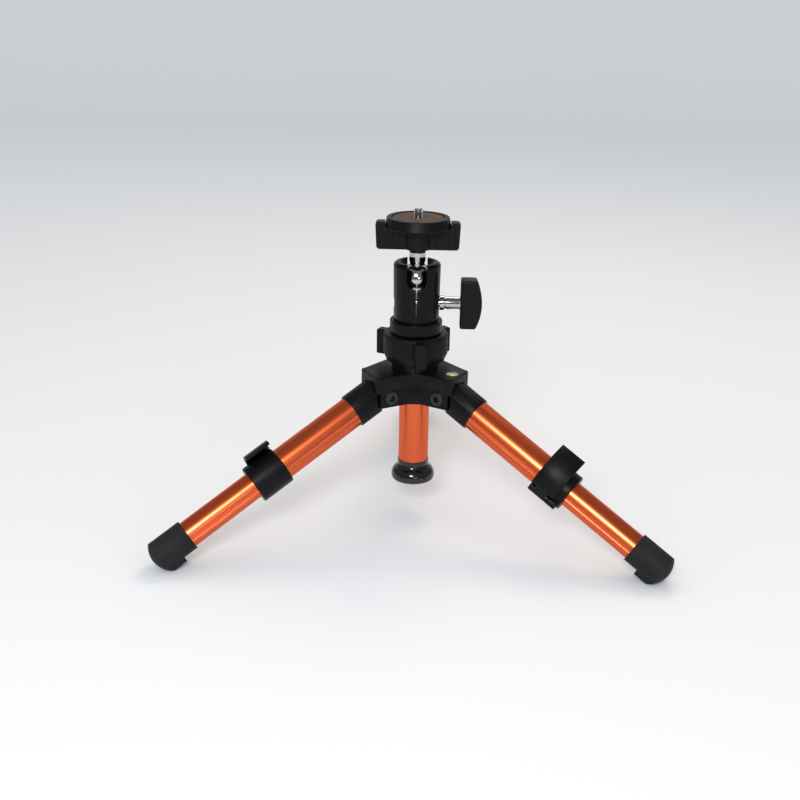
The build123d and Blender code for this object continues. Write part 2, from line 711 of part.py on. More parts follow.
# --- Wing knob and camera platform ----------------------------------------------------------------
wing_outline = make_face(Polyline((-wing_half_length_low, wing_low), (wing_half_length_low, wing_low),
                                  (wing_half_length_top, wing_top),
                                  (-wing_half_length_top, wing_top), close=True))
wing_outline = fillet(wing_outline.vertices(), wing_corner)
wings = extrude(Plane.XZ * wing_outline, wing_thickness / 2, both=True)
wing_rims = wings.faces().sort_by(Axis.Y)[0].edges() + wings.faces().sort_by(Axis.Y)[-1].edges()
wings = fillet(wing_rims, wing_edge)
wings += cylinder_z(knob_boss_radius, wing_low, camera_plate_low - face_gap)
wings += cylinder_z(knob_hub_radius, wing_low - knob_hub_drop, wing_low + root)
wings -= cylinder_z(plate_low_radius + face_gap, camera_plate_low - face_gap, rim_top)
wings -= cylinder_z(spindle_radius + running_fit, shoulder, rim_top)
parts["wing_knob"] = wings

plate_profile = [(0, camera_plate_low), (plate_under_radius, camera_plate_low),
                 (plate_low_radius, camera_plate_low + plate_under_height / 2),
                 (plate_low_radius, camera_plate_low + plate_under_height),
                 (plate_top_radius + plate_rim_edge / 2, rim_top - plate_rim_edge),
                 (plate_top_radius, rim_top),
                 (pad_radius + pad_groove, rim_top), (pad_radius + pad_groove, pad_floor),
                 (0, pad_floor)]
camera_plate = turned(plate_profile)
camera_plate -= cylinder_z(spindle_radius + seat_fit, camera_plate_low - cut_past, pad_floor)
parts["camera_plate"] = camera_plate

pad_top = rim_top - pad_below_rim
pad = cylinder_z(pad_radius, pad_floor, pad_top)
pad -= cylinder_z(screw_flange_radius + seat_fit, pad_floor - cut_past,
                  pad_floor + screw_flange_height)
pad -= cylinder_z(screw_radius + pad_hole_gap, pad_floor, pad_top + cut_past)
parts["camera_pad"] = pad

flange_top = pad_floor + screw_flange_height - seat_fit
camera_screw = cylinder_z(screw_flange_radius, pad_floor, flange_top)
camera_screw += cylinder_z(screw_shank_radius, shank_low, flange_top)
camera_screw += cylinder_z(screw_radius, pad_floor, rim_top + screw_above_rim)
parts["camera_screw"] = camera_screw


# --- Common frame: the footprint's centre to the origin ---------------------------------------------
feet = [parts[f"{name}_leg_foot"] for name in leg_names]
footprint = Compound([solid for foot in feet for solid in foot.solids()]).bounding_box()
to_origin = Pos(-footprint.center().X, -footprint.center().Y, 0)

os.makedirs("parts", exist_ok=True)
for node_name, piece in parts.items():
    solids = (to_origin * piece).solids()
    shape = solids[0] if len(solids) == 1 else Compound(solids)
    export_step(shape, f"parts/{node_name}.step")
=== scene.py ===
import json
import math

import bmesh
import bpy
from mathutils import Matrix, Vector


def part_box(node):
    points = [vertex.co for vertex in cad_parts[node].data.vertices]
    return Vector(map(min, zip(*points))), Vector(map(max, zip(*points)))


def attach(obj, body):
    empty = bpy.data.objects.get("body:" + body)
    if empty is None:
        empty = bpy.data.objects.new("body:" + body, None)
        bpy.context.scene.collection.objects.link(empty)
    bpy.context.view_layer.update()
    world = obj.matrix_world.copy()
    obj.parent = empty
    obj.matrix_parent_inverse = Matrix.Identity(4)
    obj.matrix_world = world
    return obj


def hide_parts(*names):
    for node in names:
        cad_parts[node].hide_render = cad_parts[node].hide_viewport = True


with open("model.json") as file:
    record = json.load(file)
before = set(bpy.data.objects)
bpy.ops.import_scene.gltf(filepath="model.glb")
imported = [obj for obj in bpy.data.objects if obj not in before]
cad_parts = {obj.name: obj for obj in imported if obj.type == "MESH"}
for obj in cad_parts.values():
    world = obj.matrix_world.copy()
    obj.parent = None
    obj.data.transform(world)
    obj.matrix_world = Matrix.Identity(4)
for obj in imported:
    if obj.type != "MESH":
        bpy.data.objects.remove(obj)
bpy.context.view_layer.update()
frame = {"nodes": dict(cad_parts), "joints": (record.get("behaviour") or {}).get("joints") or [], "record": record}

# Tabletop tripod with a ball head. Places come from the frame, and sizes below are in
# millimetres: a piece is shaped in its own millimetre frame, then baked into its place.
MM = 0.001
legs = ["right", "rear", "left"]

# --- Sizes ------------------------------------------------------------------------------
tube_wall = 1.2
groove_rise = 14.5          # degrees above a leg's level midline
groove_width = 1.3
groove_depth = 0.75
rib_band = (-12.0, 2.5)     # degrees, the ribbed strip under the groove
rib_pitch = 4.8             # degrees
rib_depth = 0.2
pivot_drop = 3.5            # from a leg's axis down to its pivot

ring_grooves = 45           # all round the lock ring, fewer where the lugs stand
ring_groove_depth = 0.55
ring_web = 3.3
ring_neck_play = 16.4       # radius of the room for the hub's neck
lug_width = 7.5
lug_azimuth = -81.6
lug_height = 17.6
lug_start = 0.3             # above the ring's lower face
lug_radius = 28.0
lug_root_radius = 18.0      # inside the ring
lug_round = 1.1

wing_thickness = 9.0
wing_taper = 0.8            # how much shorter each wing is at its lower edge
wing_corner = 2.2
wing_edge = 0.8
wing_groove_places = [12.1, 16.3, 20.5, 24.6]
wing_groove_width = 0.9
wing_groove_depth = 0.5
wing_boss_radius = 9.0
wing_hub_radius = 5.8
wing_hub_drop = 1.5
disc_room_radius = 22.3
disc_room_depth = 4.9       # from the wings' top down to the boss

knob_grooves = 13
knob_groove_pitch = 2.28
knob_groove_width = 0.85
knob_groove_depth = 0.5
knob_end = 10.6
knob_middle = 14.6
knob_depth = 12.0

thread_pitch = 1.27
thread_depth = 0.8
screw_slot_width = 1.1
screw_slot_depth = 1.3
screw_slot_reach = 4.0      # past the screw's sides
screw_slot_azimuth = 72     # degrees
screw_flange_height = 1.2
pad_pocket_radius = 5.45
pad_hole_radius = 4.2


# --- Places and sizes read from the frame -------------------------------------------------
def joint(name):
    return next(j for j in frame["joints"] if j["name"] == name)


def local_box(node, place):
    """Lowest and highest corner of a CAD node in a piece's own millimetre frame."""
    inverse = place.inverted()
    points = [inverse @ v.co / MM for v in frame["nodes"][node].data.vertices]
    return [Vector([pick(p[i] for p in points) for i in range(3)]) for pick in (min, max)]


record = frame["record"]
slot_of = {entry["node"]: entry["material_slot"] for entry in record["subparts"]}
body_of = {node: body for body, nodes in record["behaviour"]["bodies"].items() for node in nodes}

tube_low, tube_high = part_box("column_tube")
axis_x = (tube_low.x + tube_high.x) / 2
axis_y = (tube_low.y + tube_high.y) / 2
on_axis = Matrix.Translation((axis_x, axis_y, 0))
sideways = Matrix(((0, 0, 1, 0), (1, 0, 0, 0), (0, 1, 0, 0), (0, 0, 0, 1)))  # turns Z to +X


def leg_place(leg):
    """A leg's frame: +X outward along it, +Z its upper side, from level with its pivot."""
    outward = -Vector(joint(f"{leg}_leg_retract")["axis"])
    across = Vector(joint(f"{leg}_leg_fold")["axis"])
    upward = outward.cross(across)
    start = Vector(joint(f"{leg}_leg_fold")["pos_m"]) + upward * pivot_drop * MM
    return Matrix.Translation(start) @ Matrix((outward, across, upward)).transposed().to_4x4()


# --- Camera -------------------------------------------------------------------------------
rim_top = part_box("camera_plate")[1].z
camera_data = bpy.data.cameras.new("studio_camera")
camera = bpy.data.objects.new("studio_camera", camera_data)
bpy.context.scene.collection.objects.link(camera)
camera_data.sensor_width = 36.0
camera_data.lens = 48.36
camera_data.clip_start = 0.05
camera.location = (axis_x + 5.49 * MM, axis_y - 702.76 * MM, rim_top + 143.85 * MM)
look = Matrix(((0.99948, -0.02499, 0.02057), (0.02823, 0.36221, -0.93168),
               (0.01582, 0.93178, 0.36272)))
camera.rotation_euler = look.to_euler()
bpy.context.scene.camera = camera


# --- Shared surface effects -----------------------------------------------------------------
def node_group(name, inputs, outputs):
    """An empty shader group with (name, socket type, value) inputs and outputs."""
    group = bpy.data.node_groups.new(name, "ShaderNodeTree")
    for label, kind, value in inputs:
        socket = group.interface.new_socket(label, in_out="INPUT", socket_type=kind)
        if value is not None:
            socket.default_value = value
    for label, kind in outputs:
        group.interface.new_socket(label, in_out="OUTPUT", socket_type=kind)
    return group, group.nodes.new("NodeGroupInput"), group.nodes.new("NodeGroupOutput")


def grain_group():
    """Fine grain for bumps and slow patches for colour and roughness."""
    group, start, end = node_group(
        "moulded_grain",
        [("Vector", "NodeSocketVector", None), ("Grain Scale", "NodeSocketFloat", 3000.0),
         ("Patch Scale", "NodeSocketFloat", 60.0)],
        [("Grain", "NodeSocketFloat"), ("Patch", "NodeSocketFloat")])
    for label, scale_name, detail in (("Grain", "Grain Scale", 3.0), ("Patch", "Patch Scale", 4.0)):
        noise = group.nodes.new("ShaderNodeTexNoise")
        noise.inputs["Detail"].default_value = detail
        group.links.new(start.outputs["Vector"], noise.inputs["Vector"])
        group.links.new(start.outputs[scale_name], noise.inputs["Scale"])
        group.links.new(noise.outputs["Fac"], end.inputs[label])
    return group


def painted_highlight_group():
    """A mask that is 1 on outer edges, where a painted highlight makes a surface paler, standing in for light
    caught by rounded edges.
    """
    group, start, end = node_group("painted_edge_highlight", [("Radius", "NodeSocketFloat", 0.0006),
                                                 ("Gain", "NodeSocketFloat", 6.0)],
                                   [("Mask", "NodeSocketFloat")])
    rounded = group.nodes.new("ShaderNodeBevel")
    rounded.samples = 4
    true_side = group.nodes.new("ShaderNodeNewGeometry")
    match = group.nodes.new("ShaderNodeVectorMath")
    match.operation = "DOT_PRODUCT"
    away = group.nodes.new("ShaderNodeMath")
    away.operation = "SUBTRACT"
    away.inputs[0].default_value = 1.0
    gain = group.nodes.new("ShaderNodeMath")
    gain.operation = "MULTIPLY"
    gain.use_clamp = True
    group.links.new(start.outputs["Radius"], rounded.inputs["Radius"])
    group.links.new(rounded.outputs["Normal"], match.inputs[0])
    group.links.new(true_side.outputs["Normal"], match.inputs[1])
    group.links.new(match.outputs["Value"], away.inputs[1])
    group.links.new(away.outputs["Value"], gain.inputs[0])
    group.links.new(start.outputs["Gain"], gain.inputs[1])
    group.links.new(gain.outputs["Value"], end.inputs["Mask"])
    return group


grain = grain_group()
painted_edge_highlight = painted_highlight_group()


class Finish:
    """One material, with its shader and short ways to drive it."""

    def __init__(self, name, colour, roughness, **constants):
        self.material = bpy.data.materials.new(name)
        self.material.use_nodes = True
        self.material.diffuse_color = (*colour, 1)
        self.nodes = self.material.node_tree.nodes
        self.links = self.material.node_tree.links
        self.shader = self.nodes["Principled BSDF"]
        self.place = self.nodes.new("ShaderNodeTexCoord")
        self.shader.inputs["Base Color"].default_value = (*colour, 1)
        self.shader.inputs["Roughness"].default_value = roughness
        for label, value in constants.items():
            self.shader.inputs[label.replace("_", " ")].default_value = value

    def grain(self, grain_scale, patch_scale, source="Object", stretch=(1, 1, 1)):
        node = self.nodes.new("ShaderNodeGroup")
        node.node_tree = grain
        node.inputs["Grain Scale"].default_value = grain_scale
        node.inputs["Patch Scale"].default_value = patch_scale
        mapping = self.nodes.new("ShaderNodeMapping")
        mapping.inputs["Scale"].default_value = stretch
        self.links.new(self.place.outputs[source], mapping.inputs["Vector"])
        self.links.new(mapping.outputs["Vector"], node.inputs["Vector"])
        return node

    # Painted highlight: a mask over a finish's outer edges, where its colour is made paler.
    def edges(self, radius, gain):
        node = self.nodes.new("ShaderNodeGroup")
        node.node_tree = painted_edge_highlight
        node.inputs["Radius"].default_value = radius
        node.inputs["Gain"].default_value = gain
        return node.outputs["Mask"]

    def mixed_colour(self, mask, low, high):
        """A colour between two, wherever the mask is between 0 and 1."""
        mix = self.nodes.new("ShaderNodeMix")
        mix.data_type = "RGBA"
        if isinstance(low, bpy.types.NodeSocket):
            self.links.new(low, mix.inputs[6])
        else:
            mix.inputs[6].default_value = (*low, 1)
        mix.inputs[7].default_value = (*high, 1)
        self.links.new(mask, mix.inputs[0])
        return mix.outputs[2]

    def ranged(self, value, low, high, start=0.0, end=1.0):
        """The value's range from low to high, spread from start to end."""
        spread = self.nodes.new("ShaderNodeMapRange")
        for label, number in (("From Min", low), ("From Max", high), ("To Min", start),
                              ("To Max", end)):
            spread.inputs[label].default_value = number
        self.links.new(value, spread.inputs["Value"])
        return spread.outputs["Result"]

    def drive(self, label, value):
        self.links.new(value, self.shader.inputs[label])

    def bump(self, height, distance, strength=1.0):
        node = self.nodes.new("ShaderNodeBump")
        node.inputs["Distance"].default_value = distance
        node.inputs["Strength"].default_value = strength
        self.links.new(height, node.inputs["Height"])
        self.links.new(node.outputs["Normal"], self.shader.inputs["Normal"])


# --- Finishes -------------------------------------------------------------------------------
def anodised_orange():
    """Dyed aluminium tube: faint draw lines along it under a clear sealed skin."""
    finish = Finish("anodised_orange", (0.74, 0.12, 0.028), 0.28, Metallic=0.94, Coat_Weight=0.55,
                    Coat_Roughness=0.22)
    finish.shader.inputs["Specular Tint"].default_value = (0.85, 0.30, 0.12, 1)
    lines = finish.grain(1.0, 1.0, source="UV", stretch=(420, 3, 1))
    cloud = finish.grain(2600, 45)
    colour = finish.mixed_colour(finish.ranged(lines.outputs["Grain"], 0.3, 0.7),
                                 (0.68, 0.098, 0.022), (0.78, 0.135, 0.034))
    # Painted highlight: the outer edges turn a paler orange.
    highlit_orange_edges = finish.mixed_colour(finish.edges(0.0003, 5.0), colour, (0.90, 0.36, 0.16))
    finish.drive("Base Color", highlit_orange_edges)
    finish.drive("Roughness", finish.ranged(cloud.outputs["Patch"], 0.3, 0.7, 0.27, 0.30))
    return finish.material


def moulded_black(name, dark, pale, rough, grain_scale, depth, level):
    """Black plastic or rubber with a moulded grain, and a painted highlight that makes its edges a little paler.
    """
    finish = Finish(name, dark, rough, Specular_IOR_Level=level)
    texture = finish.grain(grain_scale, 70)
    colour = finish.mixed_colour(finish.ranged(texture.outputs["Patch"], 0.35, 0.65), dark, pale)
    # Painted highlight: the outer edges turn paler than the grain's pale tone.
    highlit_pale_edges = finish.mixed_colour(finish.edges(0.0005, 3.0), colour, [2.2 * c for c in pale])
    finish.drive("Base Color", highlit_pale_edges)
    finish.drive("Roughness", finish.ranged(texture.outputs["Patch"], 0.3, 0.7, rough - 0.06,
                                            rough + 0.06))
    finish.bump(texture.outputs["Grain"], depth, 0.5)
    return finish.material


def gloss_black():
    finish = Finish("gloss_black", (0.004, 0.004, 0.0045), 0.09, Specular_IOR_Level=0.6)
    film = finish.grain(900, 120)
    finish.drive("Base Color", finish.mixed_colour(film.outputs["Patch"], (0.003, 0.003, 0.0035),
                                                   (0.008, 0.008, 0.009)))
    finish.drive("Roughness", finish.ranged(film.outputs["Patch"], 0.35, 0.7, 0.06, 0.16))
    return finish.material


def bright_metal(name, colour, rough):
    """Plated metal with faint smudges."""
    finish = Finish(name, colour, rough, Metallic=1.0)
    smudge = finish.grain(1500, 160)
    finish.drive("Base Color", finish.mixed_colour(finish.ranged(smudge.outputs["Patch"], 0.3, 0.7),
                                                   [0.86 * c for c in colour], colour))
    finish.drive("Roughness", finish.ranged(smudge.outputs["Patch"], 0.3, 0.7, 0.6 * rough,
                                            1.6 * rough))
    return finish.material


def pale_nylon():
    finish = Finish("nylon_white", (0.80, 0.78, 0.72), 0.45)
    speck = finish.grain(1800, 200)
    finish.drive("Base Color", finish.mixed_colour(speck.outputs["Patch"], (0.70, 0.67, 0.60),
                                                   (0.86, 0.85, 0.80)))
    return finish.material


def tinted_fluid():
    finish = Finish("level_fluid", (0.60, 0.74, 0.12), 0.12, Specular_IOR_Level=0.5)
    depth = finish.grain(600, 260)
    finish.drive("Base Color", finish.mixed_colour(depth.outputs["Patch"], (0.52, 0.66, 0.07),
                                                   (0.70, 0.82, 0.18)))
    return finish.material


def clear_window():
    finish = Finish("level_window", (0.97, 0.99, 0.97), 0.03, Alpha=0.15)
    film = finish.grain(1200, 200)
    finish.drive("Base Color", finish.mixed_colour(film.outputs["Patch"], (0.92, 0.96, 0.92),
                                                   (0.99, 1.0, 0.99)))
    return finish.material


finishes = {
    "anodised_orange": anodised_orange(),
    "black_plastic": moulded_black("black_plastic", (0.0026, 0.0028, 0.0034),
                                   (0.0042, 0.0043, 0.0048), 0.40, 3200, 0.00002, 0.15),
    "black_satin_metal": moulded_black("black_satin_metal", (0.0018, 0.0018, 0.0019),
                                       (0.0030, 0.0029, 0.0028), 0.33, 4200, 0.000008, 0.14),
    "gloss_black": gloss_black(),
    "nylon_white": pale_nylon(),
    "chrome": bright_metal("chrome", (0.50, 0.50, 0.51), 0.08),
    "steel_zinc": bright_metal("steel_zinc", (0.56, 0.56, 0.58), 0.3),
    "black_steel": moulded_black("black_steel", (0.0055, 0.0055, 0.006), (0.009, 0.009, 0.009),
                                 0.25, 2500, 0.000006, 0.4),
    "foot_rubber": moulded_black("foot_rubber", (0.0095, 0.0100, 0.0118),
                                 (0.0140, 0.0142, 0.0150), 0.66, 2200, 0.00004, 0.2),
    "pad_rubber": moulded_black("pad_rubber", (0.050, 0.034, 0.024), (0.075, 0.053, 0.038), 0.6,
                                2600, 0.00003, 0.15),
    "level_fluid": tinted_fluid(),
    "level_window": clear_window(),
}


# --- Making pieces ----------------------------------------------------------------------------
def bake_piece(name, mesh, place, node, smooth=32):
    """Bakes a millimetre mesh into its place, and gives it the body and finish of a CAD node."""
    bmesh.ops.transform(mesh, matrix=place @ Matrix.Scale(MM, 4), verts=mesh.verts)
    data = bpy.data.meshes.new(name)
    mesh.to_mesh(data)
    mesh.free()
    data.shade_smooth()
    data.set_sharp_from_angle(angle=math.radians(smooth))
    data.materials.append(finishes[slot_of[node]])
    piece = bpy.data.objects.new(name, data)
    bpy.context.scene.collection.objects.link(piece)
    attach(piece, body_of[node])
    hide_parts(node)
    return piece


def soften(mesh, width, segments=2, sharp=28, chosen=None):
    """Rounds every edge that turns by more than the sharp angle."""
    limit = math.radians(sharp)
    edges = [e for e in mesh.edges if len(e.link_faces) == 2 and e.calc_face_angle() > limit]
    if chosen:
        edges = [e for e in edges if chosen(e)]
    bmesh.ops.bevel(mesh, geom=edges, offset=width, offset_type="OFFSET", segments=segments,
                    profile=0.5, affect="EDGES", clamp_overlap=True, material=-1)


def lathe(outline, segments=128):
    """A turned solid from (radius, height) points, about Z."""
    mesh = bmesh.new()
    points = [mesh.verts.new((radius, 0, height)) for radius, height in outline]
    line = [mesh.edges.new(pair) for pair in zip(points, points[1:])]
    if outline[0][0] > 0:
        line.append(mesh.edges.new((points[-1], points[0])))
    bmesh.ops.spin(mesh, geom=points + line, cent=(0, 0, 0), axis=(0, 0, 1),
                   angle=2 * math.pi, steps=segments, use_merge=True, use_duplicate=False)
    bmesh.ops.remove_doubles(mesh, verts=mesh.verts, dist=0.0005)
    bmesh.ops.recalc_face_normals(mesh, faces=mesh.faces)
    return mesh


def arc(centre, radius, start, end, steps):
    """(radius, height) points round an arc of a turned outline, angles in degrees."""
    points = []
    for step in range(steps + 1):
        angle = math.radians(start + (end - start) * step / steps)
        points.append((centre[0] + radius * math.cos(angle), centre[1] + radius * math.sin(angle)))
    return points


def ringed(levels, segments, radius_at, closed=True, unwrap=None):
    """A skin over rings: a level is (height, size), and radius_at(size, angle, height)
    shapes it."""
    mesh = bmesh.new()
    ring = bmesh.ops.create_circle(mesh, segments=segments, radius=1.0)["verts"]
    first = edges = mesh.edges[:]
    for index, (height, size) in enumerate(levels):
        if index:
            grown = bmesh.ops.extrude_edge_only(mesh, edges=edges)["geom"]
            ring = [v for v in grown if isinstance(v, bmesh.types.BMVert)]
            fresh = set(ring)
            edges = [e for e in grown if isinstance(e, bmesh.types.BMEdge)
                     and fresh.issuperset(e.verts)]
        for vert in ring:
            angle = math.atan2(vert.co.y, vert.co.x)
            radius = radius_at(size, angle, height)
            vert.co = (radius * math.cos(angle), radius * math.sin(angle), height)
    if closed:
        bmesh.ops.bridge_loops(mesh, edges=first + edges)
    else:
        bmesh.ops.holes_fill(mesh, edges=mesh.edges, sides=0)
    bmesh.ops.recalc_face_normals(mesh, faces=mesh.faces)
    if unwrap:
        sheet = mesh.loops.layers.uv.new("along")
        for face in mesh.faces:
            middle = math.atan2(face.calc_center_median().y, face.calc_center_median().x)
            for loop in face.loops:
                angle = math.atan2(loop.vert.co.y, loop.vert.co.x)
                if abs(angle - middle) > math.pi:
                    angle += math.copysign(2 * math.pi, middle)
                loop[sheet].uv = (angle / (2 * math.pi), loop.vert.co.z / unwrap)
    return mesh


def block(low, high):
    """A box between two corners."""
    mesh = bmesh.new()
    size = Vector(high) - Vector(low)
    bmesh.ops.create_cube(mesh, size=1.0)
    bmesh.ops.scale(mesh, vec=size, verts=mesh.verts)
    bmesh.ops.translate(mesh, vec=(Vector(high) + Vector(low)) / 2, verts=mesh.verts)
    return mesh


def joined(meshes):
    """Several meshes in one, which are freed."""
    whole = bmesh.new()
    for mesh in meshes:
        data = bpy.data.meshes.new("part")
        mesh.to_mesh(data)
        mesh.free()
        whole.from_mesh(data)
        bpy.data.meshes.remove(data)
    return whole


def combined(body, tool, operation):
    """The exact union or difference of two closed meshes, both of which are freed."""
    objects = []
    for mesh in (body, tool):
        data = bpy.data.meshes.new("shape")
        mesh.to_mesh(data)
        mesh.free()
        item = bpy.data.objects.new("shape", data)
        bpy.context.scene.collection.objects.link(item)
        objects.append(item)
    step = objects[0].modifiers.new("combine", "BOOLEAN")
    step.operation = operation
    step.solver = "EXACT"
    step.object = objects[1]
    step.use_self = True
    graph = bpy.context.evaluated_depsgraph_get()
    result = bmesh.new()
    shape = objects[0].evaluated_get(graph)
    result.from_mesh(shape.to_mesh())
    shape.to_mesh_clear()
    for item in objects:
        data = item.data
        bpy.data.objects.remove(item)
        bpy.data.meshes.remove(data)
    return result


def prism(outline, depth):
    """A flat outline of (x, z) points, extruded evenly to both sides of Y = 0."""
    mesh = bmesh.new()
    face = mesh.faces.new([mesh.verts.new((x, -depth / 2, z)) for x, z in outline])
    grown = bmesh.ops.extrude_face_region(mesh, geom=[face])["geom"]
    verts = [v for v in grown if isinstance(v, bmesh.types.BMVert)]
    bmesh.ops.translate(mesh, vec=(0, depth, 0), verts=verts)
    bmesh.ops.recalc_face_normals(mesh, faces=mesh.faces)
    return mesh


def finished_copy(node, width, name, sharp=28):
    """A CAD node's own shape, with its bare edges eased."""
    mesh = bmesh.new()
    mesh.from_mesh(frame["nodes"][node].data)
    bmesh.ops.scale(mesh, vec=(1 / MM, 1 / MM, 1 / MM), verts=mesh.verts)
    bmesh.ops.remove_doubles(mesh, verts=mesh.verts, dist=0.0005)
    bmesh.ops.dissolve_limit(mesh, angle_limit=math.radians(0.6), verts=mesh.verts,
                             edges=mesh.edges, use_dissolve_boundaries=False)
    if width:
        soften(mesh, width, sharp=sharp)
    bake_piece(name, mesh, Matrix.Identity(4), node)


# --- Legs -----------------------------------------------------------------------------------
def leg_tube_radius(size, angle, _height):
    """A drawn tube's section: a groove on each flank, and a strip of fine ribs below it."""
    radius, detailed = size
    if not detailed:
        return radius
    rise = math.degrees(math.asin(math.sin(angle)))
    across = abs(rise - groove_rise) * math.radians(radius)
    wall = (across - groove_width / 2) / 0.12
    depth = groove_depth * min(1.0, max(0.0, 0.5 - wall))
    low, high = rib_band
    if low < rise < high:
        depth += rib_depth * (0.5 - 0.5 * math.cos(2 * math.pi * (rise - low) / rib_pitch))
    return radius - depth


def leg_tube(leg, part, place):
    node = f"{leg}_leg_{part}_tube"
    low, high = local_box(node, place)
    radius = (high.y - low.y) / 2
    bore = radius - tube_wall
    levels = [(low.x, (radius, True)), (high.x, (radius, True)), (high.x, (bore, False)),
              (low.x, (bore, False))]
    mesh = ringed(levels, 720, leg_tube_radius, unwrap=100)
    bake_piece(f"{leg}_{part}_leg_tube", mesh, place @ sideways, node, smooth=22)


def legs_and_locks():
    for leg in legs:
        place = leg_place(leg)
        leg_tube(leg, "upper", place)
        leg_tube(leg, "lower", place)
        finished_copy(f"{leg}_leg_foot", 0.4, f"{leg}_rubber_foot")
        finished_copy(f"{leg}_leg_knuckle", 0.25, f"{leg}_leg_socket")
        finished_copy(f"{leg}_leg_lock_collar", 0.25, f"{leg}_lock_sleeve")
        finished_copy(f"{leg}_leg_lock_lever", 0.35, f"{leg}_flip_lever")


# --- Hub ------------------------------------------------------------------------------------
def hub_and_level():
    finished_copy("hub", 0, "leg_hub")


# --- Column ----------------------------------------------------------------------------------
def column_tube():
    low, high = local_box("column_tube", on_axis)
    radius = (high.x - low.x) / 2
    levels = [(low.z, radius), (high.z, radius), (high.z, radius - 1.4), (low.z, radius - 1.4)]
    mesh = ringed(levels, 256, lambda size, _angle, _height: size, unwrap=100)
    bake_piece("centre_column", mesh, on_axis, "column_tube", smooth=40)


def end_cap():
    low, high = local_box("column_end_cap", on_axis)
    foot = low.z
    rim = high.x
    band_top = foot + 14.2
    bell = arc((8.0, foot + 1.9), rim - 8.0, -18, 62, 18)
    outline = [(0, foot + 0.25), (rim - 4.0, foot + 0.25), (rim - 2.6, foot)]
    outline += bell
    outline += [(10.2, band_top - 3.9), (10.2, band_top - 3.1), (10.95, band_top - 2.9),
                (10.95, band_top - 0.2), (10.75, band_top), (9.0, band_top), (9.0, high.z),
                (0, high.z)]
    bake_piece("column_foot_cap", lathe(outline, 160), on_axis, "column_end_cap", smooth=40)


def lock_ring_radius(size, angle, _height):
    radius, cut = size
    if not cut:
        return radius
    turn = (math.degrees(angle) - lug_azimuth) % 120
    pitch = 360 / ring_grooves
    if turn < 11 or turn > 109:
        return radius
    phase = (turn % pitch) / pitch
    return radius - cut * max(0.0, 1 - abs(phase - 0.5) / 0.24) ** 0.6


def lock_ring():
    low, high = local_box("lock_ring", on_axis)
    foot = low.z
    top = high.z
    grooved = ring_groove_depth
    levels = [(foot, (19.9, 0)), (foot + 0.3, (20.3, 0)), (foot + 4.7, (22.1, 0)),
              (foot + 5.4, (22.2, grooved)), (top - 1.9, (22.2, grooved)),
              (top - 1.0, (21.9, 0.5 * grooved)), (top - 0.35, (21.4, 0)), (top, (20.6, 0)),
              (top, (11.2, 0)), (top - 0.3, (10.9, 0)), (top - ring_web, (10.9, 0)),
              (top - ring_web, (ring_neck_play, 0)), (foot, (ring_neck_play, 0))]
    ring = ringed(levels, 960, lock_ring_radius)
    lugs = []
    for index in range(3):
        lug = block((lug_root_radius, -lug_width / 2, foot + lug_start),
                    (lug_radius, lug_width / 2, foot + lug_start + lug_height))
        soften(lug, lug_round, segments=4,
               chosen=lambda e: max(v.co.x for v in e.verts) > lug_radius - 1)
        turn = Matrix.Rotation(math.radians(lug_azimuth + 120 * index), 4, "Z")
        bmesh.ops.transform(lug, matrix=turn, verts=lug.verts)
        lugs.append(lug)
    ring = combined(ring, joined(lugs), "UNION")
    bake_piece("locking_ring", ring, on_axis, "lock_ring", smooth=30)


# --- Ball head ---------------------------------------------------------------------------------
def ball_and_stem():
    low, high = local_box("ball_stem", on_axis)
    radius = (high.x - low.x) / 2
    centre = low.z + radius
    outline = arc((0, centre), radius, -90, 61, 48)
    outline += [(5.0, centre + 9.4), (4.9, centre + 10.6), (5.3, centre + 11.1),
                (5.5, centre + 11.5), (5.5, centre + 17.5), (5.2, centre + 17.8),
                (4.0, centre + 17.8), (4.0, high.z), (2.64, high.z), (2.64, high.z - 9.0),
                (0, high.z - 9.0)]
    outline[0] = (0, outline[0][1])
    bake_piece("ball_and_stem", lathe(outline, 160), on_axis, "ball_stem", smooth=35)


def clamp_bolt():
    low, high = local_box("clamp_screw", on_axis)
    centre = (low.z + high.z) / 2
    collar = 15.7
    groove = collar + 3.2
    outline = [(0, low.x), (2.6, low.x), (3.0, low.x + 0.4), (3.0, collar), (4.7, collar),
               (5.0, collar + 0.3), (5.0, groove - 0.35), (4.7, groove), (3.6, groove),
               (3.6, groove + 0.7), (4.05, groove + 0.7), (4.3, groove + 0.95), (4.3, high.x),
               (0, high.x)]
    place = on_axis @ Matrix.Translation((0, 0, centre * MM)) @ sideways
    bake_piece("clamp_bolt", lathe(outline, 96), place, "clamp_screw", smooth=35)


def groove_bar(low, high):
    """A bar that cuts a round-ended groove."""
    bar = block(low, high)
    soften(bar, 0.28, segments=2)
    return bar


def clamp_knob():
    low, high = local_box("clamp_knob", on_axis)
    inner = low.x
    middle = (low.z + high.z) / 2
    half = (high.z - low.z) / 2
    bow = knob_middle - knob_end
    radius = (half ** 2 + bow ** 2) / (2 * bow)
    centre = inner + knob_middle - radius
    reach = math.degrees(math.asin(half / radius))
    back = [(centre + radius * math.cos(math.radians(a)), radius * math.sin(math.radians(a)))
            for a in [reach * (2 * step / 14 - 1) for step in range(15)]]
    knob = prism([(inner, -half)] + back + [(inner, half)], knob_depth)
    soften(knob, 1.3, segments=4)
    bars = []
    for index in range(knob_grooves):
        height = (index - (knob_grooves - 1) / 2) * knob_groove_pitch
        outer = centre + math.sqrt(radius ** 2 - height ** 2) - 0.7
        for side in (-1, 1):
            face = side * knob_depth / 2
            near, far = sorted((face - side * knob_groove_depth, face + side))
            bars.append(groove_bar((inner + 0.9, near, height - knob_groove_width / 2),
                                   (outer, far, height + knob_groove_width / 2)))
    knob = combined(knob, joined(bars), "DIFFERENCE")
    place = on_axis @ Matrix.Translation((0, 0, middle * MM))
    bake_piece("clamp_hand_knob", knob, place, "clamp_knob", smooth=30)


